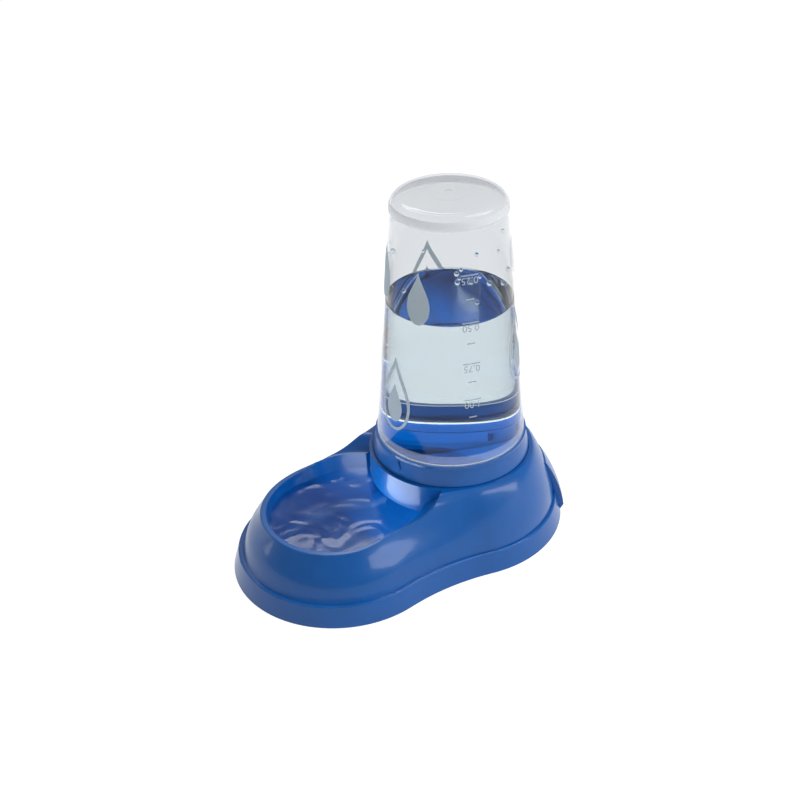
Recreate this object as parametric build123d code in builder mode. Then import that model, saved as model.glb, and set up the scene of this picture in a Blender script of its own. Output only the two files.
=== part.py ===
"""Gravity dispenser for pet food or water: a moulded base with a bowl, and a clear upturned reservoir.

+X is to the right of the bowl, -Y is the bowl end and +Y the reservoir end, and +Z is up.
The origin is on the floor, in the middle of the length and of the width.
Heights are above the floor, and the reservoir, the ring and the collar share one upright axis.
"""
import os
from math import asin, atan, cos, degrees, radians, sin, sqrt, tan

from build123d import *

# Base, seen from above: two round lobes joined by a hollow waist
axis_spacing = 107.9          # from the middle of the bowl end to the reservoir axis
front_skirt_radius = 82.7     # outer edge of the skirt round the bowl
rear_skirt_radius = 89.6      # outer edge of the skirt round the reservoir
waist_radius = 180.0          # hollow curve between the lobes

# Base, seen from the side
foot_stand = 0.6              # the rubber feet hold the skirt this far off the floor
ledge_height = 17.0           # flat ledge on top of the skirt
skirt_draft = 16.0            # degrees that the skirt leans in
ledge_round = 1.5
collar_height = 66.0          # top of the collar
collar_radius = 65.0
collar_bore = 62.4            # the selector ring turns in it
collar_bead = 0.5             # a bead stands out this far under the collar's rim, over the bowl
collar_bead_height = 1.5
wall = 2.4                    # wall of the base moulding

# The body above the ledge: height, radius of the bowl lobe, radius of the reservoir lobe
body_sections = [
    (ledge_height, 74.6, 82.8),
    (28.0, 70.6, 81.0),
    (38.0, 65.4, 78.2),
    (46.0, 60.2, 75.4),
    (54.0, 56.2, 72.2),
    (collar_height, 45.0, collar_radius),
]

# Bowl
bowl_radius = 54.0            # at the rim
bowl_floor = 8.0
bowl_draft = 10.0             # degrees that the bowl wall leans out
bowl_straight = 19.0          # straight stretch of the side walls
bowl_throat = 38.5            # half width of the bowl where it meets the collar
bowl_corner = 9.0             # round corner between the bowl wall and its floor
rim_front = 49.4              # height of the rim at the front
rim_rise = 1.8                # and so much higher across the middle of the bowl
rim_side = 53.8               # height of the rim beside the outlet
rim_level = 19.0              # the rim is at that height this far behind the bowl's middle
rim_climb = 15.0              # outside it, the rim climbs to the collar in two such steps
rim_steepness = 1.2           # slope at the end of that climb
rim_cove = 13.0               # radius of the cove between the rim and the collar's top
rim_round = 1.0
rim_inner_round = 0.8

# Outlet and well below the reservoir
outlet_top = 42.5             # lower edge of the collar over the bowl
ramp_slope = 23.0             # degrees
ramp_foot = 46.4              # the ramp reaches the bowl floor this far in front of the axis
ramp_radius = 52.5
channel_floor = 36.0          # floor of the round channel in which the gates turn
seat_height = 53.5            # ledge that carries the selector ring
seat_width = 1.8

# Selector ring
ring_fit = 0.4                # play between the ring and the base
ring_top = 82.0
ring_top_radius = 59.0
ring_bead = 0.4               # the lip stands out this far
ring_bead_height = 1.8
ring_lip_depth = 4.0          # straight stretch inside the lip, which guides the reservoir's neck
ring_cone_bottom = 67.0       # foot of the ring's slanted face
ring_wall = 2.2
centring_rib = 3.0            # height of the low rib that centres the neck on its seal
gate_bottom = 40.5            # the water gate reaches down to here, and sets the level in the bowl
skirt_bottom = 46.0           # the rest of the ring's skirt
gate_angle = 100.0            # degrees round the ring that the water gate takes
food_window_angle = 84.0      # and that the food window takes, on the other side

# Reservoir
reservoir_radius = 58.05      # just above the ring
reservoir_lean = 4.41         # degrees that its side leans in
reservoir_wall = 1.8
reservoir_height = 281.0      # top of the dome
dome_corner = 8.5             # the round edge between the side and the dome
dome_rise = 1.8               # the dome's middle stands this far above its edge
dome_ring_radius = 19.0       # low raised ring on the dome
dome_ring_width = 4.0
dome_ring_height = 0.15
dome_ring_round = 0.2
nipple_radius = 2.6           # mark of the moulding gate in the middle
nipple_height = 0.8
neck_radius = 56.6            # the reservoir's mouth, inside the ring
neck_fit = 0.4                # play between the neck and the ring
seal_thickness = 1.5
seal_width = 2.4

# Finger grip at the back
grip_radius = 92.0
grip_bottom = 4.8
grip_top = 46.0
grip_angle = 74.0             # degrees round the axis that the grip takes
grip_bulge = 2.6
grip_step = 1.0               # its top starts this far outside the body, and its lip is this high
grip_notch = 9.2              # under it the skirt is open this far in

# Rubber feet
foot_radius = 7.0
foot_height = 3.4
foot_fit = 0.15
pad_wall = 2.2
foot_round = 0.8
foot_spread = 50.0            # degrees from the middle line to each foot
rib = 2.0                     # thickness of the stiffening ribs
rib_height = 34.0
rib_reach = 30.0

# Places worked out from these sizes
reservoir_y = (axis_spacing + front_skirt_radius - grip_radius) / 2
bowl_y = reservoir_y - axis_spacing
axis = Axis((0, reservoir_y, 0), (0, 0, 1))
well_bore = collar_bore - seat_width
ring_radius = collar_bore - ring_fit
skirt_radius = well_bore - ring_fit
seat_bore = neck_radius + neck_fit
neck_bottom = collar_height + seal_thickness
straight_y = bowl_y + bowl_straight
throat_y = reservoir_y - sqrt(collar_radius**2 - bowl_throat**2)
side_turn = 2 * atan((bowl_radius - bowl_throat) / (throat_y - straight_y))
side_arc = (throat_y - straight_y) / sin(side_turn)
rim_level_y = bowl_y + rim_level
far = 2 * reservoir_height    # longer than anything in the part


def spoke(angle):
    """Upright plane through the reservoir axis: its x is the radius, and its y the height."""
    turn = radians(angle)
    return Plane(origin=(0, reservoir_y, 0), x_dir=(cos(turn), sin(turn), 0), z_dir=(sin(turn), -cos(turn), 0))


def outline(front_radius, rear_radius, waist):
    """The base's outline: a round front, a round back and two hollow waists, all tangent."""
    difference = rear_radius - front_radius
    along = (axis_spacing**2 + difference * (rear_radius + front_radius + 2 * waist)) / (2 * axis_spacing)
    waist_y = reservoir_y - along
    waist_x = sqrt((rear_radius + waist) ** 2 - along**2)
    front_share = front_radius / (front_radius + waist)
    rear_share = rear_radius / (rear_radius + waist)
    front_x = waist_x * front_share
    front_y = bowl_y + (waist_y - bowl_y) * front_share
    rear_x = waist_x * rear_share
    rear_y = reservoir_y + (waist_y - reservoir_y) * rear_share
    neck_x = waist_x - waist
    ThreePointArc((-front_x, front_y), (0, bowl_y - front_radius), (front_x, front_y))
    ThreePointArc((front_x, front_y), (neck_x, waist_y), (rear_x, rear_y))
    ThreePointArc((rear_x, rear_y), (0, reservoir_y + rear_radius), (-rear_x, rear_y))
    ThreePointArc((-rear_x, rear_y), (-neck_x, waist_y), (-front_x, front_y))


def base_form(inset):
    """The base as one closed form, drawn in by inset all round and lowered as much at the top."""
    skirt_inset = inset / cos(radians(skirt_draft))
    with BuildPart() as form:
        with BuildSketch(Plane.XY.offset(foot_stand)):
            with BuildLine():
                outline(front_skirt_radius - skirt_inset, rear_skirt_radius - skirt_inset,
                        waist_radius + skirt_inset)
            make_face()
        extrude(amount=ledge_height - inset - foot_stand, taper=skirt_draft)
        fillet(form.faces().sort_by(Axis.Z)[-1].edges(), ledge_round)
        for height, front_radius, rear_radius in body_sections:
            with BuildSketch(Plane.XY.offset(height - inset)):
                with BuildLine():
                    outline(front_radius - inset, rear_radius - inset, waist_radius + inset)
                make_face()
        loft()
        # the finger grip swells out of the back
        half = grip_angle / 2 - degrees(inset / grip_radius)
        with BuildSketch(spoke(90 - half)):
            with BuildLine():
                root = (body_sections[3][2] + grip_step - inset, grip_top - inset)
                tip = (grip_radius - inset, grip_bottom + grip_step)
                middle = ((root[0] + tip[0]) / 2 + grip_bulge, (root[1] + tip[1]) / 2)
                swell = ThreePointArc(root, middle, tip)
                Polyline(tip, (tip[0], grip_bottom - inset), (rear_skirt_radius - inset, foot_stand),
                         (ramp_radius, foot_stand), (ramp_radius, root[1]), root)
            make_face()
        revolve(axis=axis, revolution_arc=2 * half)
    return form


def bowl_outline(grow):
    """The bowl's edge, seen from above and grown outwards by grow: round in front, narrowing to its throat."""
    radius = bowl_radius + grow
    centre_x = bowl_radius - side_arc
    side_radius = side_arc + grow
    middle = (centre_x + side_radius * cos(side_turn / 2), straight_y + side_radius * sin(side_turn / 2))
    end = (centre_x + side_radius * cos(side_turn), straight_y + side_radius * sin(side_turn))
    back_y = reservoir_y - ramp_foot + 2 * bowl_corner
    ThreePointArc((-radius, bowl_y), (0, bowl_y - radius), (radius, bowl_y))
    Line((radius, bowl_y), (radius, straight_y))
    ThreePointArc((radius, straight_y), middle, end)
    Polyline(end, (end[0], back_y), (-end[0], back_y), (-end[0], end[1]))
    ThreePointArc((-end[0], end[1]), (-middle[0], middle[1]), (-radius, straight_y))
    Line((-radius, straight_y), (-radius, bowl_y))


def bowl_form(grow):
    """The bowl's hollow with its outlet towards the well; grow makes it larger, for the wall round it."""
    with BuildPart() as form:
        lean = tan(radians(bowl_draft)) * (rim_front - bowl_floor)
        with BuildSketch(Plane.XY.offset(bowl_floor - grow)):
            with BuildLine():
                bowl_outline(grow - lean)
            make_face()
        extrude(amount=collar_height + grow, taper=-bowl_draft)
        fillet(form.faces().sort_by(Axis.Z)[0].edges(), bowl_corner + grow)
    return form


def well_form(grow):
    """The round well under the reservoir, down to the channel in which the gates turn."""
    with BuildPart() as form:
        with BuildSketch(Plane.XY.offset(seat_height - grow)):
            with Locations((0, reservoir_y)):
                Circle(collar_bore + grow)
        extrude(amount=far)
        with BuildSketch(Plane.XY.offset(channel_floor - grow)):
            with Locations((0, reservoir_y)):
                Circle(well_bore + grow)
        extrude(amount=seat_height - channel_floor + grow)
    return form


def under_ramp(drop):
    """Everything below the ramp, as a wedge right across the base; drop lowers it."""
    slope = tan(radians(ramp_slope))
    with BuildPart() as form:
        with BuildSketch(Plane.YZ):
            with BuildLine():
                foot = (reservoir_y - ramp_foot, bowl_floor - drop)
                top = (reservoir_y + far, bowl_floor - drop + slope * (ramp_foot + far))
                Polyline(foot, top, (top[0], -far), (foot[0], -far), foot)
            make_face()
        extrude(amount=far, both=True)
    return form


def ramp_plug(inset):
    """The round block that carries the ramp inside the gates' channel."""
    with BuildPart() as form:
        with BuildSketch(Plane.XY):
            with Locations((0, reservoir_y)):
                Circle(ramp_radius - inset)
        extrude(amount=far)
        add(under_ramp(inset).part, mode=Mode.INTERSECT)
    return form


def water_space(grow):
    """All that is hollow above the base's floors: the bowl, the outlet and the well."""
    with BuildPart() as form:
        add(bowl_form(grow).part)
        # the collar stands over the outlet, down to the outlet's top
        with BuildSketch(Plane.XY.offset(outlet_top + grow)):
            with Locations((0, reservoir_y)):
                Circle(collar_radius - grow)
        extrude(amount=far, mode=Mode.SUBTRACT)
        # below the gates' channel the well is as wide as the ramp, which rises right across it
        with BuildSketch(Plane.XY.offset(bowl_floor - grow)):
            with Locations((0, reservoir_y)):
                Circle(ramp_radius + grow)
        extrude(amount=channel_floor - bowl_floor + grow)
        add(under_ramp(grow).part, mode=Mode.SUBTRACT)
        add(well_form(grow).part)
        add(ramp_plug(grow).part, mode=Mode.SUBTRACT)
    return form


def over_rim(drop):
    """The open air over the bowl's rim, outside the collar; drop lowers it."""
    with BuildPart() as form:
        # a cove along the bowl's edge rises to the collar's rim
        with BuildSketch(Plane.XY.offset(rim_side - drop)):
            with BuildLine():
                bowl_outline(rim_cove + drop)
            make_face()
        extrude(amount=far)
        fillet(form.faces().sort_by(Axis.Z)[0].edges(), rim_cove + drop)
        # in front the rim dips, and is cut right across
        with BuildSketch(Plane.YZ):
            with BuildLine():
                start = (bowl_y - front_skirt_radius, rim_front - drop)
                end = (rim_level_y + 2 * rim_climb, collar_height + rim_climb / 2 - drop)
                Spline(
                    start,
                    (bowl_y, rim_front + rim_rise - drop),
                    (rim_level_y, rim_side - drop),
                    (rim_level_y + rim_climb, rim_side + rim_climb / 4 - drop),
                    end,
                    tangents=[(1, 0), (1, rim_steepness)],
                )
                Polyline(end, (end[0], far), (start[0], far), start)
            make_face()
        extrude(amount=far, both=True)
        with BuildSketch(Plane.XY):
            with Locations((0, reservoir_y)):
                Circle(collar_radius - drop)
        extrude(amount=2 * far, mode=Mode.SUBTRACT)
    return form


def foot_places():
    """Where the four rubber feet stand, with the direction of the skirt at each."""
    reach = foot_fit + foot_radius + pad_wall + wall
    places = []
    for side in (-1, 1):
        front = radians(90 + side * foot_spread)
        rear = radians(90 + side * foot_spread)
        places.append((front_skirt_radius - reach, bowl_y, -front))
        places.append((rear_skirt_radius - reach, reservoir_y, rear))
    return [(radius * cos(angle), centre + radius * sin(angle), degrees(angle))
            for radius, centre, angle in places]


# Base: one moulding with the bowl, the outlet, the well, the collar, the skirt and the finger grip
with BuildPart() as hollow:
    add(base_form(wall).part)
    add(over_rim(wall).part, mode=Mode.SUBTRACT)
    add(water_space(wall).part, mode=Mode.SUBTRACT)

with BuildPart() as base_shell:
    add(base_form(0).part)
    add(over_rim(0).part, mode=Mode.SUBTRACT)
    # the bead under the collar's rim runs where the collar stands over the bowl
    bead_half = degrees(asin(bowl_throat / collar_radius)) + degrees(collar_bead / collar_radius)
    with BuildSketch(spoke(-90 - bead_half)):
        with Locations((collar_bore, collar_height)):
            Rectangle(collar_radius + collar_bead - collar_bore, collar_bead_height,
                      align=(Align.MIN, Align.MAX))
    revolve(axis=axis, revolution_arc=2 * bead_half)
    add(hollow.part, mode=Mode.SUBTRACT)
    # under the finger grip the skirt is open, so that fingers reach in
    notch_half = grip_angle / 2 - degrees(wall / grip_radius)
    with BuildSketch(spoke(90 - notch_half)):
        with Locations((grip_radius, 0)):
            Rectangle(2 * grip_notch, 2 * grip_bottom)
    revolve(axis=axis, revolution_arc=2 * notch_half, mode=Mode.SUBTRACT)
    # pads for the rubber feet, each with a rib out to the wall behind it
    for x, y, angle in foot_places():
        with BuildSketch(Plane((x, y, foot_stand))):
            Circle(foot_radius + foot_fit + pad_wall)
        extrude(amount=foot_height - foot_stand + wall)
        outward = (cos(radians(angle)), sin(radians(angle)), 0)
        with BuildSketch(Plane((x, y, foot_height), x_dir=outward)):
            Rectangle(rib_reach, rib, align=(Align.MIN, Align.CENTER))
        extrude(amount=rib_height - foot_height)
        with BuildSketch(Plane((x, y, foot_stand))):
            Circle(foot_radius + foot_fit)
        extrude(amount=foot_height - foot_stand, mode=Mode.SUBTRACT)
    add(base_form(0).part, mode=Mode.INTERSECT)
    add(water_space(0).part, mode=Mode.SUBTRACT)
    # the crest of the bowl's rim is rounded outside, and then a little inside
    looks_up = cos(radians(45))
    for first, radius in ((0, rim_round), (2, rim_inner_round)):
        spline_faces = base_shell.faces().filter_by(GeomType.EXTRUSION)
        crest = spline_faces.filter_by(lambda face: face.normal_at().Z > looks_up).edges()
        along_rim = crest.filter_by(lambda edge: edge.length > 2 * rim_climb).sort_by(Axis.Y)
        fillet(along_rim[first:first + 2], radius)
base_shell.part.label = "base_shell"

# Selector ring: it carries the reservoir, and half a turn of it lets water or food through
with BuildPart() as selector_ring:
    body_bore = ring_radius - ring_wall
    skirt_bore = skirt_radius - ring_wall
    flange_bore = seat_bore - neck_fit - seal_width
    with BuildSketch(spoke(0)):
        with BuildLine():
            Polyline(
                (seat_bore, ring_top),
                (ring_top_radius + ring_bead, ring_top),
                (ring_top_radius + ring_bead, ring_top - ring_bead_height),
                (ring_top_radius, ring_top - ring_bead_height - ring_bead),
                (ring_radius, ring_cone_bottom),
                (ring_radius, seat_height),
                (skirt_radius, seat_height),
                (skirt_radius, gate_bottom),
                (skirt_bore, gate_bottom),
                (skirt_bore, seat_height + ring_wall),
                (body_bore, seat_height + ring_wall),
                (body_bore, collar_height - ring_wall),
                (flange_bore, collar_height - ring_wall),
                (flange_bore, collar_height),
                (seat_bore, collar_height),
                (seat_bore, collar_height + centring_rib),
                (seat_bore + ring_wall / 2, collar_height + centring_rib),
                (seat_bore + ring_wall / 2, collar_height),
                (body_bore, collar_height),
                (body_bore, ring_cone_bottom),
                (seat_bore, ring_top - ring_lip_depth),
                (seat_bore, ring_top),
            )
        make_face()
    revolve(axis=axis, revolution_arc=360)
    # the water gate keeps the full depth, the rest is cut shorter, and the food window goes right up
    gates_out = ((gate_angle / 2 - 90, 360 - gate_angle, skirt_bottom),
                 (90 - food_window_angle / 2, food_window_angle, seat_height))
    for start, turn, top in gates_out:
        with BuildSketch(spoke(start)):
            with Locations(((skirt_bore + skirt_radius) / 2, top)):
                Rectangle(2 * ring_wall, far, align=(Align.CENTER, Align.MAX))
        revolve(axis=axis, revolution_arc=turn, mode=Mode.SUBTRACT)
selector_ring.part.label = "selector_ring"

# Seal between the reservoir's mouth and the ring
with BuildPart() as reservoir_seal:
    with BuildSketch(Plane.XY.offset(collar_height)):
        with Locations((0, reservoir_y)):
            Circle(seat_bore - neck_fit / 2)
            Circle(seat_bore - neck_fit - seal_width, mode=Mode.SUBTRACT)
    extrude(amount=seal_thickness)
reservoir_seal.part.label = "reservoir_seal"


def reservoir_side(height):
    """Outer radius of the reservoir's leaning side at a height."""
    return reservoir_radius - (height - ring_top) * tan(radians(reservoir_lean))


def reservoir_form(inset):
    """The reservoir as a solid body, drawn in by inset all round but open at its mouth."""
    mouth = neck_bottom - inset
    step = ring_top + neck_fit
    edge_height = reservoir_height - dome_rise - inset
    edge = (reservoir_side(edge_height) - inset, edge_height)
    crown = reservoir_height - nipple_height - inset
    # the dome's top is part of a large ball
    ball = (edge[0] ** 2 + (crown - edge_height) ** 2) / (2 * (crown - edge_height))
    half = asin(edge[0] / ball) / 2
    with BuildPart() as form:
        with BuildSketch(spoke(0)) as section:
            with BuildLine():
                Polyline((0, crown), (0, mouth), (neck_radius - inset, mouth), (neck_radius - inset, step),
                         (reservoir_side(step) - inset, step), edge)
                ThreePointArc(edge, (ball * sin(half), crown - ball * (1 - cos(half))), (0, crown))
            make_face()
            corner = section.vertices().sort_by_distance((*edge, 0))[0]
            fillet(corner, dome_corner - inset)
        revolve(axis=axis, revolution_arc=360)
    return form


# Reservoir: one clear moulding, standing on its open mouth
with BuildPart() as reservoir:
    add(reservoir_form(0).part)
    with BuildSketch(Plane.XY.offset(reservoir_height - nipple_height - dome_rise)):
        with Locations((0, reservoir_y)):
            Circle(dome_ring_radius)
            Circle(dome_ring_radius - dome_ring_width, mode=Mode.SUBTRACT)
    extrude(amount=dome_rise + dome_ring_height)
    fillet(reservoir.faces().sort_by(Axis.Z)[-1].edges(), dome_ring_round)
    with BuildSketch(Plane.XY.offset(reservoir_height - nipple_height - dome_rise)):
        with Locations((0, reservoir_y)):
            Circle(nipple_radius)
    extrude(amount=dome_rise + nipple_height)
    fillet(reservoir.faces().sort_by(Axis.Z)[-1].edges(), dome_ring_round)
    add(reservoir_form(reservoir_wall).part, mode=Mode.SUBTRACT)
reservoir.part.label = "reservoir"

# Rubber feet in the pads under the base
foot_names = ("foot_front_right", "foot_rear_right", "foot_front_left", "foot_rear_left")
feet = []
for name, (x, y, angle) in zip(foot_names, foot_places()):
    with BuildPart() as foot:
        with BuildSketch(Plane((x, y, 0))):
            Circle(foot_radius)
        extrude(amount=foot_height)
        fillet(foot.faces().sort_by(Axis.Z)[0].edges(), foot_round)
    foot.part.label = name
    feet.append(foot.part)

os.makedirs("parts", exist_ok=True)
export_step(base_shell.part, "parts/base_shell.step")
export_step(selector_ring.part, "parts/selector_ring.step")
export_step(reservoir_seal.part, "parts/reservoir_seal.step")
export_step(reservoir.part, "parts/reservoir.step")
for rubber_foot in feet:
    export_step(rubber_foot, f"parts/{rubber_foot.label}.step")
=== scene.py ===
"""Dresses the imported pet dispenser: moulded plastics, water, print, droplets and the studio round it."""
import math
import random

import bpy
from bpy.props import FloatProperty, FloatVectorProperty, IntProperty, PointerProperty
from mathutils import Matrix, Quaternion, Vector


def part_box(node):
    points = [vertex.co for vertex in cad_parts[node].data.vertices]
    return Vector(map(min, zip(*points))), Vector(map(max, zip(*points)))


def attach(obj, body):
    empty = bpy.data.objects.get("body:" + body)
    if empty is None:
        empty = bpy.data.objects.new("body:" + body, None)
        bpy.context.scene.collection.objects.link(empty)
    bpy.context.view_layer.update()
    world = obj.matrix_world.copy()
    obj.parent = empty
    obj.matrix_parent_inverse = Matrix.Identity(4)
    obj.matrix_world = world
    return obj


bl_info = {
    "name": "Pet dispenser dressing",
    "version": (1, 0, 0),
    "blender": (4, 5, 0),
    "location": "View3D > Sidebar > Dispenser",
    "description": "Finishes, water, print and studio for the pet food and water dispenser",
    "category": "Object",
}

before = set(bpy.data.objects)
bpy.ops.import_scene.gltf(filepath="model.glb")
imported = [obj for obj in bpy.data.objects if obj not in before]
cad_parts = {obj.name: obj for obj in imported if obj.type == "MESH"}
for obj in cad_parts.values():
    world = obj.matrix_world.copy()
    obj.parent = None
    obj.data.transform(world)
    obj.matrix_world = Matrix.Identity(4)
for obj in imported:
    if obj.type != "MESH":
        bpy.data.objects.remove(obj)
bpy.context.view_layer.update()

MM = 0.001
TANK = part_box("reservoir")
RING_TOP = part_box("selector_ring")[1].z
SEAL_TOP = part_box("reservoir_seal")[1].z
AXIS_Y = (TANK[0].y + TANK[1].y) / 2      # the upright axis of the reservoir, the ring and the collar
BOWL_Y = AXIS_Y - 107.9 * MM              # middle of the bowl's round front
LEAN = math.radians(4.41)                 # lean of the reservoir's side
SIDE_FOOT = 58.05 * MM                    # outer radius of the reservoir's side, level with the ring's top
WALL = 1.8 * MM                           # thickness of the reservoir's wall


def linear(code):
    """An sRGB hex colour as the linear values that a shader takes."""
    values = [int(code[i:i + 2], 16) / 255 for i in (1, 3, 5)]
    return [v / 12.92 if v <= 0.04045 else ((v + 0.055) / 1.055) ** 2.4 for v in values] + [1.0]


def tank_radius(height):
    """Outer radius of the reservoir's leaning side at a height."""
    return SIDE_FOOT - (height - RING_TOP) * math.tan(LEAN)


class PlasticLooks(bpy.types.PropertyGroup):
    """Finish of the blue mouldings."""
    colour: FloatVectorProperty(name="Plastic colour", description="Colour of the base and the ring",
                                subtype="COLOR", size=4, min=0, max=1, default=linear("#0059A8"))
    roughness: FloatProperty(name="Roughness", description="Satin of the moulded surface",
                             min=0, max=1, default=0.32)
    texture_size: FloatProperty(name="Texture size", unit="LENGTH", min=0.0001, default=0.0009,
                                description="Width of one dimple of the fine moulded texture")


class TankLooks(bpy.types.PropertyGroup):
    """Finish and filling of the clear reservoir."""
    tint: FloatVectorProperty(name="Clear plastic colour", description="Tint of the clear wall",
                              subtype="COLOR", size=4, min=0, max=1, default=linear("#F3F4F5"))
    frost_from: FloatProperty(name="Frost starts at", description="Height above which the dome is frosted",
                              unit="LENGTH", default=0.2695)
    water_level: FloatProperty(name="Water level", description="Height of the water in the reservoir",
                               unit="LENGTH", min=0.09, max=0.26, default=0.1965)
    water_tint: FloatVectorProperty(name="Water colour", description="Tint of the water", subtype="COLOR",
                                    size=4, min=0, max=1, default=linear("#ECF8FA"))
    droplets: IntProperty(name="Droplets", description="How many droplets cling inside above the water",
                          min=1, max=60, default=24)


class BowlLooks(bpy.types.PropertyGroup):
    """Water in the bowl."""
    water_level: FloatProperty(name="Water level", description="Height of the water in the bowl",
                               unit="LENGTH", min=0.01, max=0.046, default=0.041)
    ripple: FloatProperty(name="Ripple height", description="Height of the ripples from trough to crest",
                          unit="LENGTH", min=0, default=0.0007)
    ripple_size: FloatProperty(name="Ripple size", description="Distance between the ripples",
                               unit="LENGTH", min=0.001, default=0.026)


class PrintLooks(bpy.types.PropertyGroup):
    """Screen print on the reservoir."""
    colour: FloatVectorProperty(name="Ink colour", description="Colour of the printed drops and scale",
                                subtype="COLOR", size=4, min=0, max=1, default=linear("#D5DCE0"))
    line: FloatProperty(name="Line width", description="Width of the scale's ticks",
                        unit="LENGTH", min=0.0002, default=0.0009)


class StudioLooks(bpy.types.PropertyGroup):
    """Floor and lamps."""
    floor_colour: FloatVectorProperty(name="Floor colour", description="Colour of the paper floor",
                                      subtype="COLOR", size=4, min=0, max=1, default=linear("#FFFFFF"))
    key_power: FloatProperty(name="Key light", min=0, default=7.5,
                             description="Power in watts of the large soft light overhead")
    fill_power: FloatProperty(name="Fill light", min=0, default=4.2,
                              description="Power in watts that the other lights take their shares of")
    air: FloatProperty(name="Air light", description="Strength of the light from all round",
                       min=0, default=0.3)


def add_node(tree, kind, inputs=None, **settings):
    """Adds a node, sets its options and fills or links its inputs."""
    node = tree.nodes.new(kind)
    for name, value in settings.items():
        setattr(node, name, value)
    for name, value in (inputs or {}).items():
        if isinstance(value, bpy.types.NodeSocket):
            tree.links.new(value, node.inputs[name])
        else:
            node.inputs[name].default_value = value
    return node


def new_material(name):
    """An empty node material with its output."""
    material = bpy.data.materials.new(name)
    material.use_nodes = True
    material.node_tree.nodes.clear()
    output = add_node(material.node_tree, "ShaderNodeOutputMaterial")
    return material, material.node_tree, output


def blue_polypropylene(looks):
    """Injection-moulded polypropylene: deep blue under a bright skin, so lamps look sharp in a haze."""
    material, tree, output = new_material("injection_moulded_polypropylene")
    place = add_node(tree, "ShaderNodeTexCoord").outputs["Object"]
    # fine spark-eroded texture, over the slight waviness of a thick moulding
    dimples = add_node(tree, "ShaderNodeTexNoise", {
        "Vector": place, "Scale": 1 / looks.texture_size, "Detail": 2.0, "Roughness": 0.5})
    waves = add_node(tree, "ShaderNodeTexNoise", {
        "Vector": place, "Scale": 1 / (17 * MM), "Detail": 3.0})
    bump = add_node(tree, "ShaderNodeBump", {
        "Height": dimples.outputs["Fac"], "Strength": 0.08, "Distance": 0.04 * MM})
    sink = add_node(tree, "ShaderNodeBump", {
        "Height": waves.outputs["Fac"], "Strength": 0.3, "Distance": 0.3 * MM,
        "Normal": bump.outputs["Normal"]})
    # faint differences in gloss and depth of colour where the melt flowed
    gloss = add_node(tree, "ShaderNodeMapRange", {
        "Value": waves.outputs["Fac"], "From Min": 0.1, "From Max": 0.9,
        "To Min": looks.roughness - 0.06, "To Max": looks.roughness + 0.06})
    deep = [0.84 * channel for channel in looks.colour[:3]] + [1.0]
    pale = [min(1.12 * channel, 1.0) for channel in looks.colour[:3]] + [1.0]
    tone = add_node(tree, "ShaderNodeMix", {
        "Factor": waves.outputs["Fac"], 6: deep, 7: pale}, data_type="RGBA")
    skin = add_node(tree, "ShaderNodeBsdfPrincipled", {
        "Base Color": tone.outputs[2], "Roughness": gloss.outputs["Result"], "IOR": 1.49,
        "Specular IOR Level": 0.3, "Coat Weight": 0.35, "Coat Roughness": 0.1,
        "Normal": sink.outputs["Normal"]})
    tree.links.new(skin.outputs["BSDF"], output.inputs["Surface"])
    return material


def edge_gloss(tree, at_front, normal):
    """Share of light that a clear surface throws back: little from the front, all of it at its edge."""
    facing = add_node(tree, "ShaderNodeLayerWeight", {"Blend": 0.5, "Normal": normal})
    steep = add_node(tree, "ShaderNodeMath", {0: facing.outputs["Facing"], 1: 5.0}, operation="POWER")
    share = add_node(tree, "ShaderNodeMath", {0: steep.outputs[0], 1: 1 - at_front, 2: at_front},
                     operation="MULTIPLY_ADD")
    return share.outputs[0]


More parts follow.
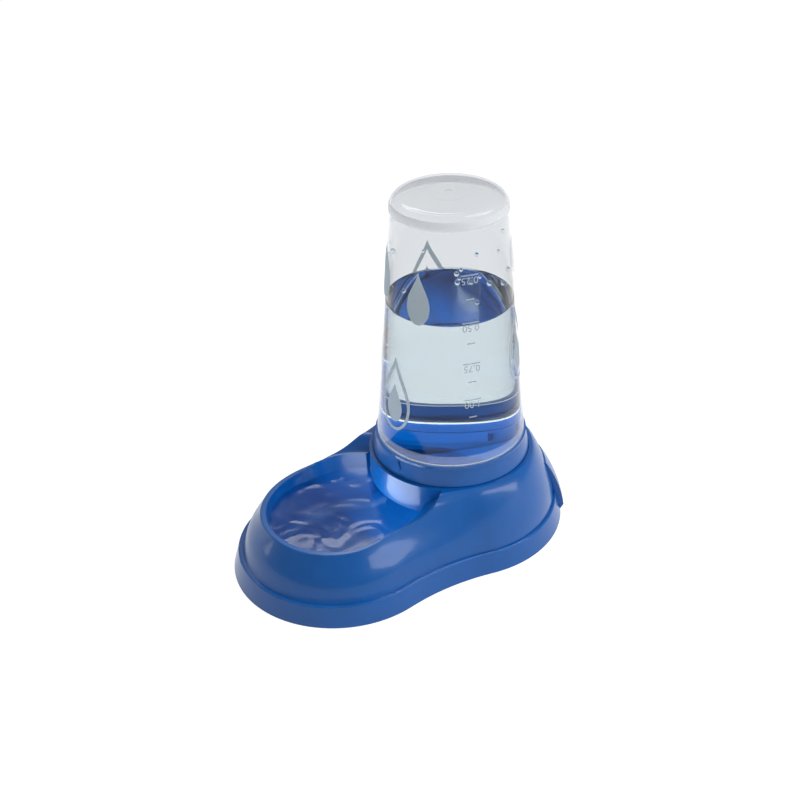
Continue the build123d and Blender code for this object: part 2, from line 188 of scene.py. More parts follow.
def clear_copolyester(looks):
    """Clear blow-moulded copolyester: a thin bright wall, its dome and its lowest band etched white."""
    material, tree, output = new_material("blow_moulded_copolyester")
    place = add_node(tree, "ShaderNodeTexCoord").outputs["Object"]
    height = add_node(tree, "ShaderNodeSeparateXYZ", {"Vector": place}).outputs["Z"]
    # how deep a point lies in the wall: its inner face is wet below the waterline and throws back nothing
    from_axis = add_node(tree, "ShaderNodeVectorMath", {0: place, 1: (0, -AXIS_Y, 0)}, operation="ADD")
    flat = add_node(tree, "ShaderNodeVectorMath", {0: from_axis.outputs[0], 1: (1, 1, 0)},
                    operation="MULTIPLY")
    radius = add_node(tree, "ShaderNodeVectorMath", {0: flat.outputs[0]},
                      operation="LENGTH").outputs["Value"]
    side = add_node(tree, "ShaderNodeMath", {
        0: height, 1: -math.tan(LEAN), 2: tank_radius(0)}, operation="MULTIPLY_ADD")
    depth = add_node(tree, "ShaderNodeMath", {0: side.outputs[0], 1: radius}, operation="SUBTRACT")
    outer = add_node(tree, "ShaderNodeMath", {0: depth.outputs[0], 1: WALL / 2}, operation="LESS_THAN")
    dry = add_node(tree, "ShaderNodeMath", {0: height, 1: looks.water_level + 0.6 * MM},
                   operation="GREATER_THAN")
    bright = add_node(tree, "ShaderNodeMath", {0: outer.outputs[0], 1: dry.outputs[0]}, operation="MAXIMUM")
    waves = add_node(tree, "ShaderNodeTexNoise", {"Vector": place, "Scale": 1 / (30 * MM), "Detail": 1.0})
    wall = add_node(tree, "ShaderNodeBump", {
        "Height": waves.outputs["Fac"], "Strength": 0.3, "Distance": 0.5 * MM}).outputs["Normal"]
    share = add_node(tree, "ShaderNodeMath", {
        0: edge_gloss(tree, at_front=0.012, normal=wall), 1: bright.outputs[0]}, operation="MULTIPLY")
    through = add_node(tree, "ShaderNodeBsdfTransparent", {"Color": looks.tint})
    gloss = add_node(tree, "ShaderNodeBsdfGlossy", {
        "Color": linear("#FFFFFF"), "Roughness": 0.04, "Normal": wall})
    clear = add_node(tree, "ShaderNodeMixShader", {
        "Fac": share.outputs[0], 1: through.outputs[0], 2: gloss.outputs[0]})
    # etched: light comes through it scattered
    grain = add_node(tree, "ShaderNodeTexNoise", {"Vector": place, "Scale": 1 / (0.8 * MM), "Detail": 2.0})
    etched = add_node(tree, "ShaderNodeBump", {
        "Height": grain.outputs["Fac"], "Strength": 0.3, "Distance": 0.04 * MM}).outputs["Normal"]
    front = add_node(tree, "ShaderNodeBsdfPrincipled", {
        "Base Color": linear("#ECEEF0"), "Roughness": 0.45, "IOR": 1.5, "Normal": etched})
    back = add_node(tree, "ShaderNodeBsdfTranslucent", {"Color": linear("#F0F1F4"), "Normal": etched})
    milky = add_node(tree, "ShaderNodeMixShader", {"Fac": 0.5, 1: front.outputs[0], 2: back.outputs[0]})
    fade = 1.2 * MM
    dome = add_node(tree, "ShaderNodeMapRange", {
        "Value": height, "From Min": looks.frost_from - fade, "From Max": looks.frost_from + fade},
        interpolation_type="SMOOTHSTEP")
    band = add_node(tree, "ShaderNodeMapRange", {
        "Value": height, "From Min": RING_TOP + 9.2 * MM, "From Max": RING_TOP + 8.6 * MM, "To Max": 0.16})
    frost = add_node(tree, "ShaderNodeMath", {0: dome.outputs["Result"], 1: band.outputs["Result"]},
                     operation="MAXIMUM")
    frost = add_node(tree, "ShaderNodeMath", {0: frost.outputs[0], 1: outer.outputs[0]},
                     operation="MULTIPLY")
    both = add_node(tree, "ShaderNodeMixShader", {
        "Fac": frost.outputs[0], 1: clear.outputs[0], 2: milky.outputs[0]})
    tree.links.new(both.outputs["Shader"], output.inputs["Surface"])
    return material


def still_water(looks):
    """Drinking water behind a wall: it bends light, and has a faint cool tint at this depth."""
    material, tree, output = new_material("drinking_water_in_tank")
    place = add_node(tree, "ShaderNodeTexCoord").outputs["Object"]
    ripple = add_node(tree, "ShaderNodeTexNoise", {"Vector": place, "Scale": 1 / (24 * MM), "Detail": 1.0})
    bump = add_node(tree, "ShaderNodeBump", {
        "Height": ripple.outputs["Fac"], "Strength": 0.15, "Distance": 0.5 * MM})
    water = add_node(tree, "ShaderNodeBsdfPrincipled", {
        "Base Color": looks.water_tint, "Roughness": 0.0, "IOR": 1.333, "Transmission Weight": 1.0,
        "Normal": bump.outputs["Normal"]})
    # lamps shine through it, on to the ring and the ramp below
    path = add_node(tree, "ShaderNodeLightPath")
    through = add_node(tree, "ShaderNodeBsdfTransparent", {"Color": linear("#FFFFFF")})
    both = add_node(tree, "ShaderNodeMixShader", {
        "Fac": path.outputs["Is Shadow Ray"], 1: water.outputs[0], 2: through.outputs[0]})
    tree.links.new(both.outputs[0], output.inputs["Surface"])
    return material


def open_water():
    """Water that goes on below: nothing shows where the two are joined but a faint drift in their tint."""
    material, tree, output = new_material("drinking_water_joined")
    place = add_node(tree, "ShaderNodeTexCoord").outputs["Object"]
    drift = add_node(tree, "ShaderNodeTexNoise", {"Vector": place, "Scale": 1 / (30 * MM), "Detail": 1.0})
    tone = add_node(tree, "ShaderNodeMix", {
        "Factor": drift.outputs["Fac"], 6: linear("#F4F8FA"), 7: linear("#FFFFFF")}, data_type="RGBA")
    through = add_node(tree, "ShaderNodeBsdfTransparent", {"Color": tone.outputs[2]})
    tree.links.new(through.outputs[0], output.inputs["Surface"])
    return material


def rippled_water(looks):
    """Drinking water in a bowl: too shallow to bend much light, bright where a ripple catches a lamp."""
    material, tree, output = new_material("drinking_water_in_bowl")
    place = add_node(tree, "ShaderNodeTexCoord").outputs["Object"]
    ripple = add_node(tree, "ShaderNodeTexNoise", {
        "Vector": place, "Scale": 1 / (1.3 * looks.ripple_size), "Detail": 1.0, "Distortion": 1.2})
    bump = add_node(tree, "ShaderNodeBump", {
        "Height": ripple.outputs["Fac"], "Strength": 1.0, "Distance": 2.2 * looks.ripple}).outputs["Normal"]
    through = add_node(tree, "ShaderNodeBsdfTransparent", {"Color": linear("#E4EEF2")})
    gloss = add_node(tree, "ShaderNodeBsdfGlossy", {
        "Color": linear("#FFFFFF"), "Roughness": 0.14, "Normal": bump})
    water = add_node(tree, "ShaderNodeMixShader", {
        "Fac": edge_gloss(tree, at_front=0.035, normal=bump), 1: through.outputs[0], 2: gloss.outputs[0]})
    tree.links.new(water.outputs[0], output.inputs["Surface"])
    return material


def screen_print_ink(looks):
    """Screen-printed ink: a matt film with a faint mesh grain, through which light from behind glows."""
    material, tree, output = new_material("screen_printed_ink")
    place = add_node(tree, "ShaderNodeTexCoord").outputs["Object"]
    mesh = add_node(tree, "ShaderNodeTexNoise", {"Vector": place, "Scale": 1 / (0.7 * MM), "Detail": 2.0})
    thin = add_node(tree, "ShaderNodeMapRange", {
        "Value": mesh.outputs["Fac"], "To Min": 0.6, "To Max": 0.85})
    front = add_node(tree, "ShaderNodeBsdfPrincipled", {
        "Base Color": looks.colour, "Roughness": 0.45, "IOR": 1.5})
    back = add_node(tree, "ShaderNodeBsdfTranslucent", {"Color": looks.colour})
    film = add_node(tree, "ShaderNodeMixShader", {
        "Fac": thin.outputs["Result"], 1: front.outputs[0], 2: back.outputs[0]})
    tree.links.new(film.outputs[0], output.inputs["Surface"])
    return material


def moulded_rubber(name, colour):
    """Moulded rubber: matt, with a fine grain and a soft sheen at the edge of the light."""
    material, tree, output = new_material(name)
    place = add_node(tree, "ShaderNodeTexCoord").outputs["Object"]
    grain = add_node(tree, "ShaderNodeTexNoise", {"Vector": place, "Scale": 1 / (0.5 * MM), "Detail": 3.0})
    bump = add_node(tree, "ShaderNodeBump", {
        "Height": grain.outputs["Fac"], "Strength": 0.3, "Distance": 0.05 * MM})
    dull = add_node(tree, "ShaderNodeMapRange", {
        "Value": grain.outputs["Fac"], "To Min": 0.6, "To Max": 0.8})
    rubber = add_node(tree, "ShaderNodeBsdfPrincipled", {
        "Base Color": colour, "Roughness": dull.outputs["Result"], "IOR": 1.52,
        "Sheen Weight": 0.1, "Normal": bump.outputs["Normal"]})
    tree.links.new(rubber.outputs["BSDF"], output.inputs["Surface"])
    return material


def dress(piece, material):
    """Puts one material on a piece."""
    piece.data.materials.clear()
    piece.data.materials.append(material)


def deselect():
    """Leaves object mode with nothing selected."""
    if bpy.context.object and bpy.context.object.mode != "OBJECT":
        bpy.ops.object.mode_set(mode="OBJECT")
    bpy.ops.object.select_all(action="DESELECT")


def pick(*pieces):
    """Selects only these pieces, the first of them active."""
    deselect()
    for piece in pieces:
        piece.select_set(True)
    bpy.context.view_layer.objects.active = pieces[0]


def settle(piece):
    """Puts a piece's place into its mesh, so that its object sits at the origin."""
    pick(piece)
    bpy.ops.object.transform_apply(location=True, rotation=True, scale=True)
    return piece


def boolean(piece, other, operation):
    """Joins a closed piece to another, or keeps what the two share, as a modifier yet to be applied."""
    cut = piece.modifiers.new(other.name, "BOOLEAN")
    cut.object = other
    cut.operation = operation
    cut.solver = "EXACT"


def apply_all(piece):
    """Applies the piece's modifiers in order."""
    pick(piece)
    for name in [modifier.name for modifier in piece.modifiers]:
        bpy.ops.object.modifier_apply(modifier=name)
    return piece


def choose(piece, kind, test):
    """In edit mode, selects the vertices, edges or faces that pass a test of their middle."""
    bpy.ops.object.mode_set(mode="EDIT")
    bpy.ops.mesh.select_mode(type=kind)
    bpy.ops.mesh.select_all(action="DESELECT")
    bpy.ops.object.mode_set(mode="OBJECT")
    mesh = piece.data
    if kind == "VERT":
        for vertex in mesh.vertices:
            vertex.select = test(vertex.co)
    elif kind == "EDGE":
        for edge in mesh.edges:
            start, end = (mesh.vertices[index].co for index in edge.vertices)
            edge.select = test((start + end) / 2)
    else:
        for face in mesh.polygons:
            face.select = test(face.center)
    bpy.ops.object.mode_set(mode="EDIT")


def face_outwards(piece):
    """Turns every face of a closed piece outwards."""
    pick(piece)
    bpy.ops.object.mode_set(mode="EDIT")
    bpy.ops.mesh.select_all(action="SELECT")
    bpy.ops.mesh.normals_make_consistent(inside=False)
    bpy.ops.object.mode_set(mode="OBJECT")


def place_camera(scene):
    """Camera at the photograph's angle, worked out from the round outlines of bowl, ring and dome."""
    forward = Vector((-0.7073, 0.4616, -0.5355)).normalized()
    level = forward.cross(Vector((0, 0, 1))).normalized()
    raised = level.cross(forward)
    roll = math.radians(-1.83)
    right = math.cos(roll) * level + math.sin(roll) * raised
    upward = -math.sin(roll) * level + math.cos(roll) * raised
    bpy.ops.object.camera_add()
    camera = bpy.context.object
    camera.name = "camera"
    camera.data.lens = 57.73
    camera.data.sensor_width = 36
    camera.data.clip_start = 0.01
    view = Matrix((right, upward, -forward)).transposed().to_4x4()
    view.translation = Vector((0.6870, -0.4460, 0.6433))
    camera.matrix_world = view
    scene.camera = camera


def lay_paper(looks):
    """A wide paper floor: white to the camera, in gloss and in glass, with the object's shadow on it."""
    bpy.ops.mesh.primitive_plane_add(size=80, location=(0, 0, 0))
    floor = bpy.context.object
    floor.name = "floor"
    material, tree, output = new_material("white_paper")
    path = add_node(tree, "ShaderNodeLightPath")
    seen = add_node(tree, "ShaderNodeMath", {
        0: path.outputs["Is Camera Ray"], 1: path.outputs["Is Glossy Ray"]}, operation="MAXIMUM")
    seen = add_node(tree, "ShaderNodeMath", {
        0: seen.outputs[0], 1: path.outputs["Is Transmission Ray"]}, operation="MAXIMUM")
    place = add_node(tree, "ShaderNodeTexCoord").outputs["Object"]
    fibre = add_node(tree, "ShaderNodeTexNoise", {"Vector": place, "Scale": 1 / (2 * MM), "Detail": 3.0})
    shade = add_node(tree, "ShaderNodeMix", {
        "Factor": fibre.outputs["Fac"], 6: linear("#E3E3E3"), 7: linear("#EDEDED")}, data_type="RGBA")
    paper = add_node(tree, "ShaderNodeBsdfDiffuse", {"Color": shade.outputs[2]})
    # what is seen is nearly all glow, so that it stays white, and a little of it takes the shadow
    faint = add_node(tree, "ShaderNodeBsdfDiffuse", {"Color": linear("#959595")})
    glow = add_node(tree, "ShaderNodeEmission", {"Color": looks.floor_colour, "Strength": 0.9})
    lit = add_node(tree, "ShaderNodeAddShader", {0: faint.outputs[0], 1: glow.outputs[0]})
    both = add_node(tree, "ShaderNodeMixShader", {
        "Fac": seen.outputs[0], 1: paper.outputs[0], 2: lit.outputs[0]})
    tree.links.new(both.outputs[0], output.inputs["Surface"])
    dress(floor, material)


def hang_lamps(looks):
    """Soft lamps round the object, none of them in the picture or in the glass."""
    fill = looks.fill_power
    middle = (0, 0, 0.08)
    # name, place, width, height, power, roll in degrees, point it shines at
    lamps = (
        ("overhead", (0.26, 0.72, 1.45), 0.35, 0.8, looks.key_power, 0, middle),
        ("front", (-0.05, -0.95, 1.05), 0.5, 0.4, 0.2 * fill, 0, middle),
        ("left", (-0.86, 0.42, 1.06), 0.55, 0.24, 0.5 * fill, 0, middle),
        ("low_left", (-0.75, -0.75, 0.25), 0.5, 0.3, 0.3 * fill, 0, middle),
        ("right", (1.15, 0.30, 1.05), 0.8, 0.5, 1.5 * fill, 0, middle),
        ("low_right", (1.17, 0.62, 0.40), 1.15, 0.2, 1.0 * fill, -27, middle),
        # the light that the bowl's water throws up at the curtain and the ring
        ("bowl_glint", (0.008, BOWL_Y + 11 * MM, 0.034), 0.066, 0.027, 0.0105 * fill, 0,
         (0.008, BOWL_Y + 98 * MM, 0.084)),
    )
    for name, place, width, height, power, roll, target in lamps:
        bpy.ops.object.light_add(type="AREA", location=place)
        lamp = bpy.context.object
        lamp.name = name
        lamp.data.shape = "RECTANGLE"
        lamp.data.size = width
        lamp.data.size_y = height
        lamp.data.energy = power
        lamp.visible_camera = False
        lamp.visible_transmission = False
        lamp.visible_glossy = name != "right"       # its image would cut across the waist's streak of light
        aim = (Vector(target) - Vector(place)).to_track_quat("-Z", "Y")
        lamp.rotation_euler = (aim @ Quaternion((0, 0, 1), math.radians(roll))).to_euler()
    # the light that the reservoir's water gathers and sends down on to the ring and the ramp
    bpy.ops.object.light_add(type="POINT", location=(0, AXIS_Y, 0.07))
    lamp = bpy.context.object
    lamp.name = "water_glint"
    lamp.data.shadow_soft_size = 0.03
    lamp.data.energy = 0.05 * fill
    lamp.visible_camera = False
    lamp.visible_transmission = False
    lamp.visible_glossy = False


def fill_air(scene, looks):
    """Light from all round, darker towards the floor, as in a room."""
    world = bpy.data.worlds.new("studio_air")
    world.use_nodes = True
    scene.world = world
    tree = world.node_tree
    tree.nodes.clear()
    way = add_node(tree, "ShaderNodeTexCoord").outputs["Generated"]
    rise = add_node(tree, "ShaderNodeSeparateXYZ", {"Vector": way}).outputs["Z"]
    strength = add_node(tree, "ShaderNodeMapRange", {
        "Value": rise, "From Min": 0.0, "From Max": 0.9, "To Min": 0.5 * looks.air, "To Max": looks.air})
    # past the paper's edge the room looks white, and so it does in glass and, fainter, in gloss
    path = add_node(tree, "ShaderNodeLightPath")
    seen = add_node(tree, "ShaderNodeMath", {
        0: path.outputs["Is Camera Ray"], 1: path.outputs["Is Transmission Ray"]}, operation="MAXIMUM")
    seen = add_node(tree, "ShaderNodeMath", {
        0: path.outputs["Is Glossy Ray"], 1: 0.3, 2: seen.outputs[0]},
        operation="MULTIPLY_ADD", use_clamp=True)
    shown = add_node(tree, "ShaderNodeMapRange", {
        "Value": seen.outputs[0], "To Min": strength.outputs["Result"], "To Max": 1.0})
    air = add_node(tree, "ShaderNodeBackground", {
        "Color": linear("#FFFFFF"), "Strength": shown.outputs["Result"]})
    add_node(tree, "ShaderNodeOutputWorld", {"Surface": air.outputs[0]})


class DISPENSER_OT_studio(bpy.types.Operator):
    """Camera at the photograph's angle, paper floor, soft lights"""
    bl_idname = "dispenser.studio"
    bl_label = "Studio"

    def execute(self, context):
        looks = context.scene.dispenser_studio
        deselect()
        place_camera(context.scene)
        lay_paper(looks)
        hang_lamps(looks)
        fill_air(context.scene, looks)
        context.scene.view_settings.view_transform = "Standard"
        return {"FINISHED"}


class DISPENSER_OT_mouldings(bpy.types.Operator):
    """Finish of the base, the ring, the reservoir and the rubber pieces"""
    bl_idname = "dispenser.mouldings"
    bl_label = "Mouldings"

    def execute(self, context):
        scene = context.scene
        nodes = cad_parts
        blue = blue_polypropylene(scene.dispenser_plastic)
        dress(nodes["base_shell"], blue)
        dress(nodes["selector_ring"], blue)
        dress(nodes["reservoir"], clear_copolyester(scene.dispenser_tank))
        dress(nodes["reservoir_seal"], moulded_rubber("moulded_silicone", linear("#D9DCDD")))
        grip = moulded_rubber("moulded_thermoplastic_rubber", linear("#2C2E31"))
        for name in ("foot_front_left", "foot_front_right", "foot_rear_left", "foot_rear_right"):
            dress(nodes[name], grip)
        return {"FINISHED"}


class DISPENSER_OT_tank_water(bpy.types.Operator):
    """Water in the reservoir, up to its level"""
    bl_idname = "dispenser.tank_water"
    bl_label = "Water in the reservoir"

    def execute(self, context):
        looks = context.scene.dispenser_tank
        into_wall = 1.4 * MM                # the water's skin lies inside the wall, where the two are joined
        top = looks.water_level
        foot = RING_TOP + 0.4 * MM          # where the side ends and the neck begins
        neck = 56.6 * MM                    # outer radius of the neck
        mouth = SEAL_TOP + 0.4 * MM
        deselect()
        bpy.ops.mesh.primitive_cone_add(vertices=160, radius1=tank_radius(foot) - into_wall,
                                        radius2=tank_radius(top) - into_wall, depth=top - foot,
                                        end_fill_type="NGON", location=(0, AXIS_Y, (top + foot) / 2))
        water = context.object
        water.name = "reservoir_water"
        settle(water)
        # the neck below, a little narrower
        choose(water, "FACE", lambda middle: middle.z < foot + 0.01 * MM)
        bpy.ops.mesh.inset(thickness=tank_radius(foot) - neck)
        bpy.ops.mesh.extrude_region_move(TRANSFORM_OT_translate={"value": (0, 0, mouth - foot)})
        # the water climbs the wall a little
        choose(water, "FACE", lambda middle: middle.z > top - 0.01 * MM)
        for width in (1.4 * MM, 1.0 * MM, 8 * MM):
            bpy.ops.mesh.inset(thickness=width)
        choose(water, "VERT", lambda at: at.z > top - 0.01 * MM and
               math.hypot(at.x, at.y - AXIS_Y) > tank_radius(top) - into_wall - 0.6 * MM)
        bpy.ops.transform.translate(value=(0, 0, 0.8 * MM))
        bpy.ops.object.mode_set(mode="OBJECT")
        bpy.ops.object.shade_smooth_by_angle(angle=math.radians(35))
        dress(water, still_water(looks))
        # its underside is joined to the water on the ramp, so it bends no light
        water.data.materials.append(open_water())
        for face in water.data.polygons:
            face.material_index = int(face.center.z < mouth + 0.1 * MM)
        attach(water, "tank")
        return {"FINISHED"}


def stand_up(piece, bearing, distance, height):
    """Turns a flat shape upright, to face out from the axis at a bearing."""
    turn = math.radians(bearing)
    piece.rotation_euler = (math.pi / 2, 0, turn + math.pi / 2)
    piece.location = (distance * math.cos(turn), AXIS_Y + distance * math.sin(turn), height)
    return settle(piece)


def drop_shape(width, length, rings, depth):
    """A thick teardrop; rings are ones inside it, each a share of the last, by turns hollow and full."""
    deselect()
    bpy.ops.curve.primitive_bezier_circle_add(radius=width / 2)
    drop = bpy.context.object
    drop.data.dimensions = "2D"
    drop.data.fill_mode = "BOTH"
    drop.data.extrude = depth / 2
    drop.data.resolution_u = 10
    tip = drop.data.splines[0].bezier_points[1]
    tip.handle_left_type = "VECTOR"
    tip.handle_right_type = "VECTOR"
    tip.co.y = length - width / 2
    bpy.ops.object.mode_set(mode="EDIT")
    for share in rings:
        bpy.ops.curve.duplicate()
        bpy.ops.transform.resize(value=(share, share, share), center_override=(0, 0, 0))
    bpy.ops.object.mode_set(mode="OBJECT")
    bpy.ops.object.convert(target="MESH")
    return bpy.context.object


def wrap_round(pieces, low, high, low_radius, high_radius, thickness):
    """Cuts thick flat shapes down to a thin skin round the axis."""
    for piece in pieces:
        pick(piece)
        bpy.ops.object.mode_set(mode="EDIT")
        bpy.ops.mesh.select_all(action="SELECT")
        bpy.ops.mesh.remove_doubles(threshold=0.001 * MM)
        bpy.ops.mesh.normals_make_consistent(inside=False)
        bpy.ops.object.mode_set(mode="OBJECT")
    pick(*pieces)
    if len(pieces) > 1:
        bpy.ops.object.join()
    shapes = pieces[0]
    deselect()
    bpy.ops.mesh.primitive_cone_add(vertices=192, radius1=low_radius, radius2=high_radius, depth=high - low,
                                    end_fill_type="NOTHING", location=(0, AXIS_Y, (low + high) / 2))
    skin = settle(bpy.context.object)
    shell = skin.modifiers.new("film", "SOLIDIFY")
    shell.thickness = thickness
    shell.offset = 1
    boolean(skin, shapes, "INTERSECT")
    apply_all(skin)
    bpy.data.objects.remove(shapes)
    return skin


def scale_tick(width, line, depth):
    """One thick straight stroke of the litre scale."""
    deselect()
    bpy.ops.mesh.primitive_cube_add(size=1)
    tick = bpy.context.object
    tick.scale = (width, line, depth)
    return settle(tick)


def scale_number(text, size, depth):
    """A thick number of the litre scale, upside down, that hangs just under its tick."""
    deselect()
    bpy.ops.object.text_add()
    number = bpy.context.object
    number.data.body = text
    number.data.size = size
    number.data.align_x = "CENTER"
    number.data.extrude = depth / 2
    bpy.ops.object.convert(target="MESH")
    number = bpy.context.object
    number.rotation_euler = (0, 0, math.pi)
    number.location = (0, -1.6 * MM, 0)
    return settle(number)


class DISPENSER_OT_print(bpy.types.Operator):
    """Printed drops and litre scale on the reservoir"""
    bl_idname = "dispenser.print"
    bl_label = "Print"

    def execute(self, context):
        looks = context.scene.dispenser_print
        depth = 24 * MM                     # thick enough for the curved skin to lie inside all over
        away = 53 * MM                      # the shapes' middle, from the axis
        scale_at = -18                      # bearing of the litre scale
        low, high = 0.085, 0.266            # the skin that they are cut down to
        proud = 0.02 * MM
        pieces = []
        # bearing, height of the round end, width, length, outlined or solid
        for bearing, height, width, length, outlined in (
                (-86, 0.118, 0.030, 0.062, True), (-64, 0.205, 0.017, 0.040, False),
                (38, 0.150, 0.030, 0.062, True), (62, 0.222, 0.017, 0.034, False),
                (112, 0.128, 0.024, 0.052, False), (165, 0.175, 0.030, 0.062, True),
                (218, 0.138, 0.017, 0.040, False), (246, 0.215, 0.022, 0.042, False)):
            drop = drop_shape(width, length, (0.84, 0.62) if outlined else (), depth)
            pieces.append(stand_up(drop, bearing, away, height))
        # the scale is read while the upturned reservoir is filled, so its numbers hang upside down
        for number, height in (("1.00", 0.138), ("0.75", 0.1674), ("0.50", 0.1998), ("0.25", 0.2362)):
            pieces.append(stand_up(scale_tick(13 * MM, looks.line, depth), scale_at, away, height))
            pieces.append(stand_up(scale_number(number, 7.5 * MM, depth), scale_at, away, height))
        for height in (0.1238, 0.1527, 0.1836, 0.218):
            pieces.append(stand_up(scale_tick(6 * MM, looks.line, depth), scale_at, away, height))
        film = wrap_round(pieces, low, high, tank_radius(low) + proud, tank_radius(high) + proud, 0.05 * MM)
        film.name = "reservoir_print"
        dress(film, screen_print_ink(looks))
        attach(film, "tank")
        return {"FINISHED"}


class DISPENSER_OT_ring_mark(bpy.types.Operator):
    """Raised drop on the selector ring's face, which shows its setting for water"""
    bl_idname = "dispenser.ring_mark"
    bl_label = "Mark on the ring"

    def execute(self, context):
        drop = stand_up(drop_shape(5.6 * MM, 9.4 * MM, (), 16 * MM), -78, 60 * MM, 0.0722)
        # cut down to a skin on the ring's slanted face
        mark = wrap_round([drop], 0.068, 0.081, 61.8 * MM, 59.2 * MM, 0.45 * MM)
        mark.name = "selector_ring_mark"
        dress(mark, blue_polypropylene(context.scene.dispenser_plastic))
        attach(mark, "ring")
        return {"FINISHED"}


class DISPENSER_OT_droplets(bpy.types.Operator):
    """Droplets that cling to the inside of the reservoir, above the water"""
    bl_idname = "dispenser.droplets"
    bl_label = "Droplets"

    def execute(self, context):
        looks = context.scene.dispenser_tank
        chance = random.Random(7)
        drops = []
        for _ in range(looks.droplets):
            bearing = math.radians(chance.uniform(-150, 60))
            height = chance.uniform(looks.water_level + 14 * MM, looks.frost_from - 8 * MM)
            size = chance.uniform(0.9, 1.9) * MM
            # the outer half of each lies in the wall, and the rest bulges from it
            reach = tank_radius(height) - WALL - 0.2 * size
            deselect()
            bpy.ops.mesh.primitive_uv_sphere_add(segments=20, ring_count=12, radius=size, location=(
                reach * math.cos(bearing), AXIS_Y + reach * math.sin(bearing), height))
            drop = context.object
            drop.scale = (1, 1, 1.15)
            bpy.ops.object.shade_smooth()
            drops.append(settle(drop))
        pick(*drops)
        bpy.ops.object.join()
        beads = context.object
        beads.name = "reservoir_droplets"
        dress(beads, still_water(looks))
        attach(beads, "tank")
        return {"FINISHED"}


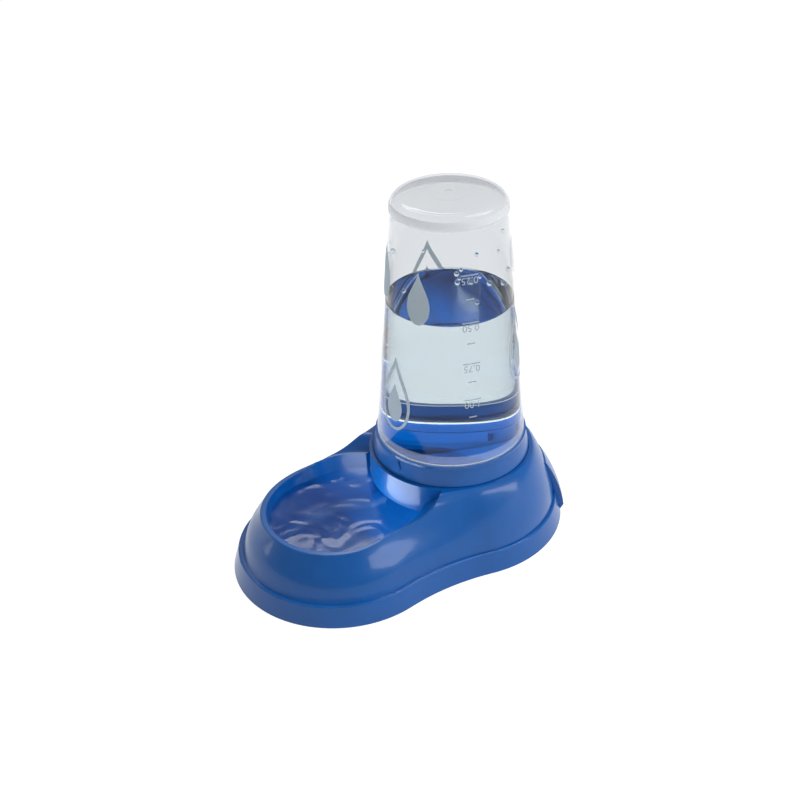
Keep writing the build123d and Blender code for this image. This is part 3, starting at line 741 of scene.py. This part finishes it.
class DISPENSER_OT_bowl_water(bpy.types.Operator):
    """Water in the bowl, with soft ripples"""
    bl_idname = "dispenser.bowl_water"
    bl_label = "Water in the bowl"

    def execute(self, context):
        looks = context.scene.dispenser_bowl
        level = looks.water_level
        brim = level + 1.5 * MM             # the block stands this high until its rippled top is cut
        floor = 7.0 * MM                    # inside the bowl's floor
        radius = 53.2 * MM                  # inside the bowl's wall, at the water's surface
        narrow = 0.89                       # the bowl's foot is narrower
        deselect()
        # the right half of the bowl's edge, drawn from the front round to the throat and back to the well
        bpy.ops.mesh.primitive_circle_add(vertices=128, radius=radius, location=(0, BOWL_Y, brim))
        water = context.object
        water.name = "bowl_water"
        settle(water)
        choose(water, "VERT", lambda at: at.y > BOWL_Y + 0.01 * MM or at.x < -0.01 * MM)
        bpy.ops.mesh.delete(type="VERT")
        choose(water, "VERT", lambda at: at.x > radius - 0.01 * MM)
        corner = Vector((radius, BOWL_Y))
        for x, y in ((53.2, 19), (52.7, 27), (51.0, 35), (48.3, 42), (44.4, 49), (40.0, 54.5), (38.0, 57.5),
                     (38.0, 72), (0, 72)):
            target = Vector((x * MM, BOWL_Y + y * MM))
            step = target - corner
            bpy.ops.mesh.extrude_region_move(TRANSFORM_OT_translate={"value": (step.x, step.y, 0)})
            corner = target
        bpy.ops.object.mode_set(mode="OBJECT")
        mirror = water.modifiers.new("other side", "MIRROR")
        mirror.merge_threshold = 0.02 * MM
        apply_all(water)
        bpy.ops.object.mode_set(mode="EDIT")
        bpy.ops.mesh.select_all(action="SELECT")
        bpy.ops.mesh.edge_face_add()
        bpy.ops.mesh.extrude_region_move(TRANSFORM_OT_translate={"value": (0, 0, floor - brim)})
        bpy.ops.transform.resize(value=(narrow, narrow, 1), center_override=(0, BOWL_Y, floor))
        # the bowl's rounded foot
        choose(water, "EDGE", lambda middle: middle.z < floor + 0.01 * MM and middle.y < BOWL_Y + 60 * MM)
        bpy.ops.mesh.bevel(offset=8 * MM, segments=5)
        face_outwards(water)
        # the well under the ring, and its middle down to the ramp: radius, foot, top
        for wide, foot, top in ((61 * MM, 35 * MM, brim), (53 * MM, floor, level + 1.0 * MM)):
            deselect()
            bpy.ops.mesh.primitive_cylinder_add(vertices=128, radius=wide, depth=top - foot,
                                                location=(0, AXIS_Y, (top + foot) / 2))
            well = settle(context.object)
            boolean(water, well, "UNION")
            apply_all(water)
            bpy.data.objects.remove(well)
        # below the ramp there is none
        bpy.ops.object.mode_set(mode="EDIT")
        bpy.ops.mesh.select_all(action="SELECT")
        slope = math.radians(23)
        bpy.ops.mesh.bisect(plane_co=(0, AXIS_Y - 46.4 * MM, 7.2 * MM),
                            plane_no=(0, -math.sin(slope), math.cos(slope)),
                            use_fill=True, clear_inner=True)
        # a block with a rippled top, which the water is cut to
        deselect()
        bpy.ops.mesh.primitive_grid_add(x_subdivisions=130, y_subdivisions=230, size=1,
                                        location=(0, 0, level))
        block = context.object
        block.scale = (0.13, 0.23, 1)
        settle(block)
        ripples = bpy.data.textures.new("ripples", "CLOUDS")
        ripples.noise_scale = looks.ripple_size
        ripples.noise_depth = 1
        wave = block.modifiers.new("ripples", "DISPLACE")
        wave.texture = ripples
        wave.texture_coords = "LOCAL"
        wave.direction = "Z"
        wave.strength = looks.ripple
        wave.mid_level = 0.5
        apply_all(block)
        bpy.ops.object.mode_set(mode="EDIT")
        bpy.ops.mesh.select_all(action="SELECT")
        bpy.ops.mesh.extrude_region_move(TRANSFORM_OT_translate={"value": (0, 0, -60 * MM)})
        face_outwards(block)
        boolean(water, block, "INTERSECT")
        apply_all(water)
        bpy.data.objects.remove(block)
        pick(water)
        bpy.ops.object.shade_smooth_by_angle(angle=math.radians(35))
        dress(water, rippled_water(looks))
        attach(water, "base")
        return {"FINISHED"}


class DISPENSER_PT_panel(bpy.types.Panel):
    """Lists the dispenser's making steps"""
    bl_idname = "DISPENSER_PT_panel"
    bl_label = "Dispenser"
    bl_space_type = "VIEW_3D"
    bl_region_type = "UI"
    bl_category = "Dispenser"

    def draw(self, context):
        layout = self.layout
        for operator in OPERATORS:
            layout.operator(operator.bl_idname)
        for group in GROUPS:
            box = layout.box()
            looks = getattr(context.scene, group)
            for name in looks.__annotations__:
                box.prop(looks, name)


GROUPS = {
    "dispenser_plastic": PlasticLooks,
    "dispenser_tank": TankLooks,
    "dispenser_bowl": BowlLooks,
    "dispenser_print": PrintLooks,
    "dispenser_studio": StudioLooks,
}
OPERATORS = (
    DISPENSER_OT_studio,
    DISPENSER_OT_mouldings,
    DISPENSER_OT_tank_water,
    DISPENSER_OT_droplets,
    DISPENSER_OT_print,
    DISPENSER_OT_ring_mark,
    DISPENSER_OT_bowl_water,
)


def register():
    for kind in (*GROUPS.values(), *OPERATORS, DISPENSER_PT_panel):
        bpy.utils.register_class(kind)
    for name, kind in GROUPS.items():
        setattr(bpy.types.Scene, name, PointerProperty(type=kind))


def unregister():
    for name in GROUPS:
        delattr(bpy.types.Scene, name)
    for kind in (DISPENSER_PT_panel, *reversed(OPERATORS), *reversed(list(GROUPS.values()))):
        bpy.utils.unregister_class(kind)


def main():
    register()
    for operator in OPERATORS:
        area, name = operator.bl_idname.split(".")
        getattr(getattr(bpy.ops, area), name)()


if __name__ == "__main__":
    main()
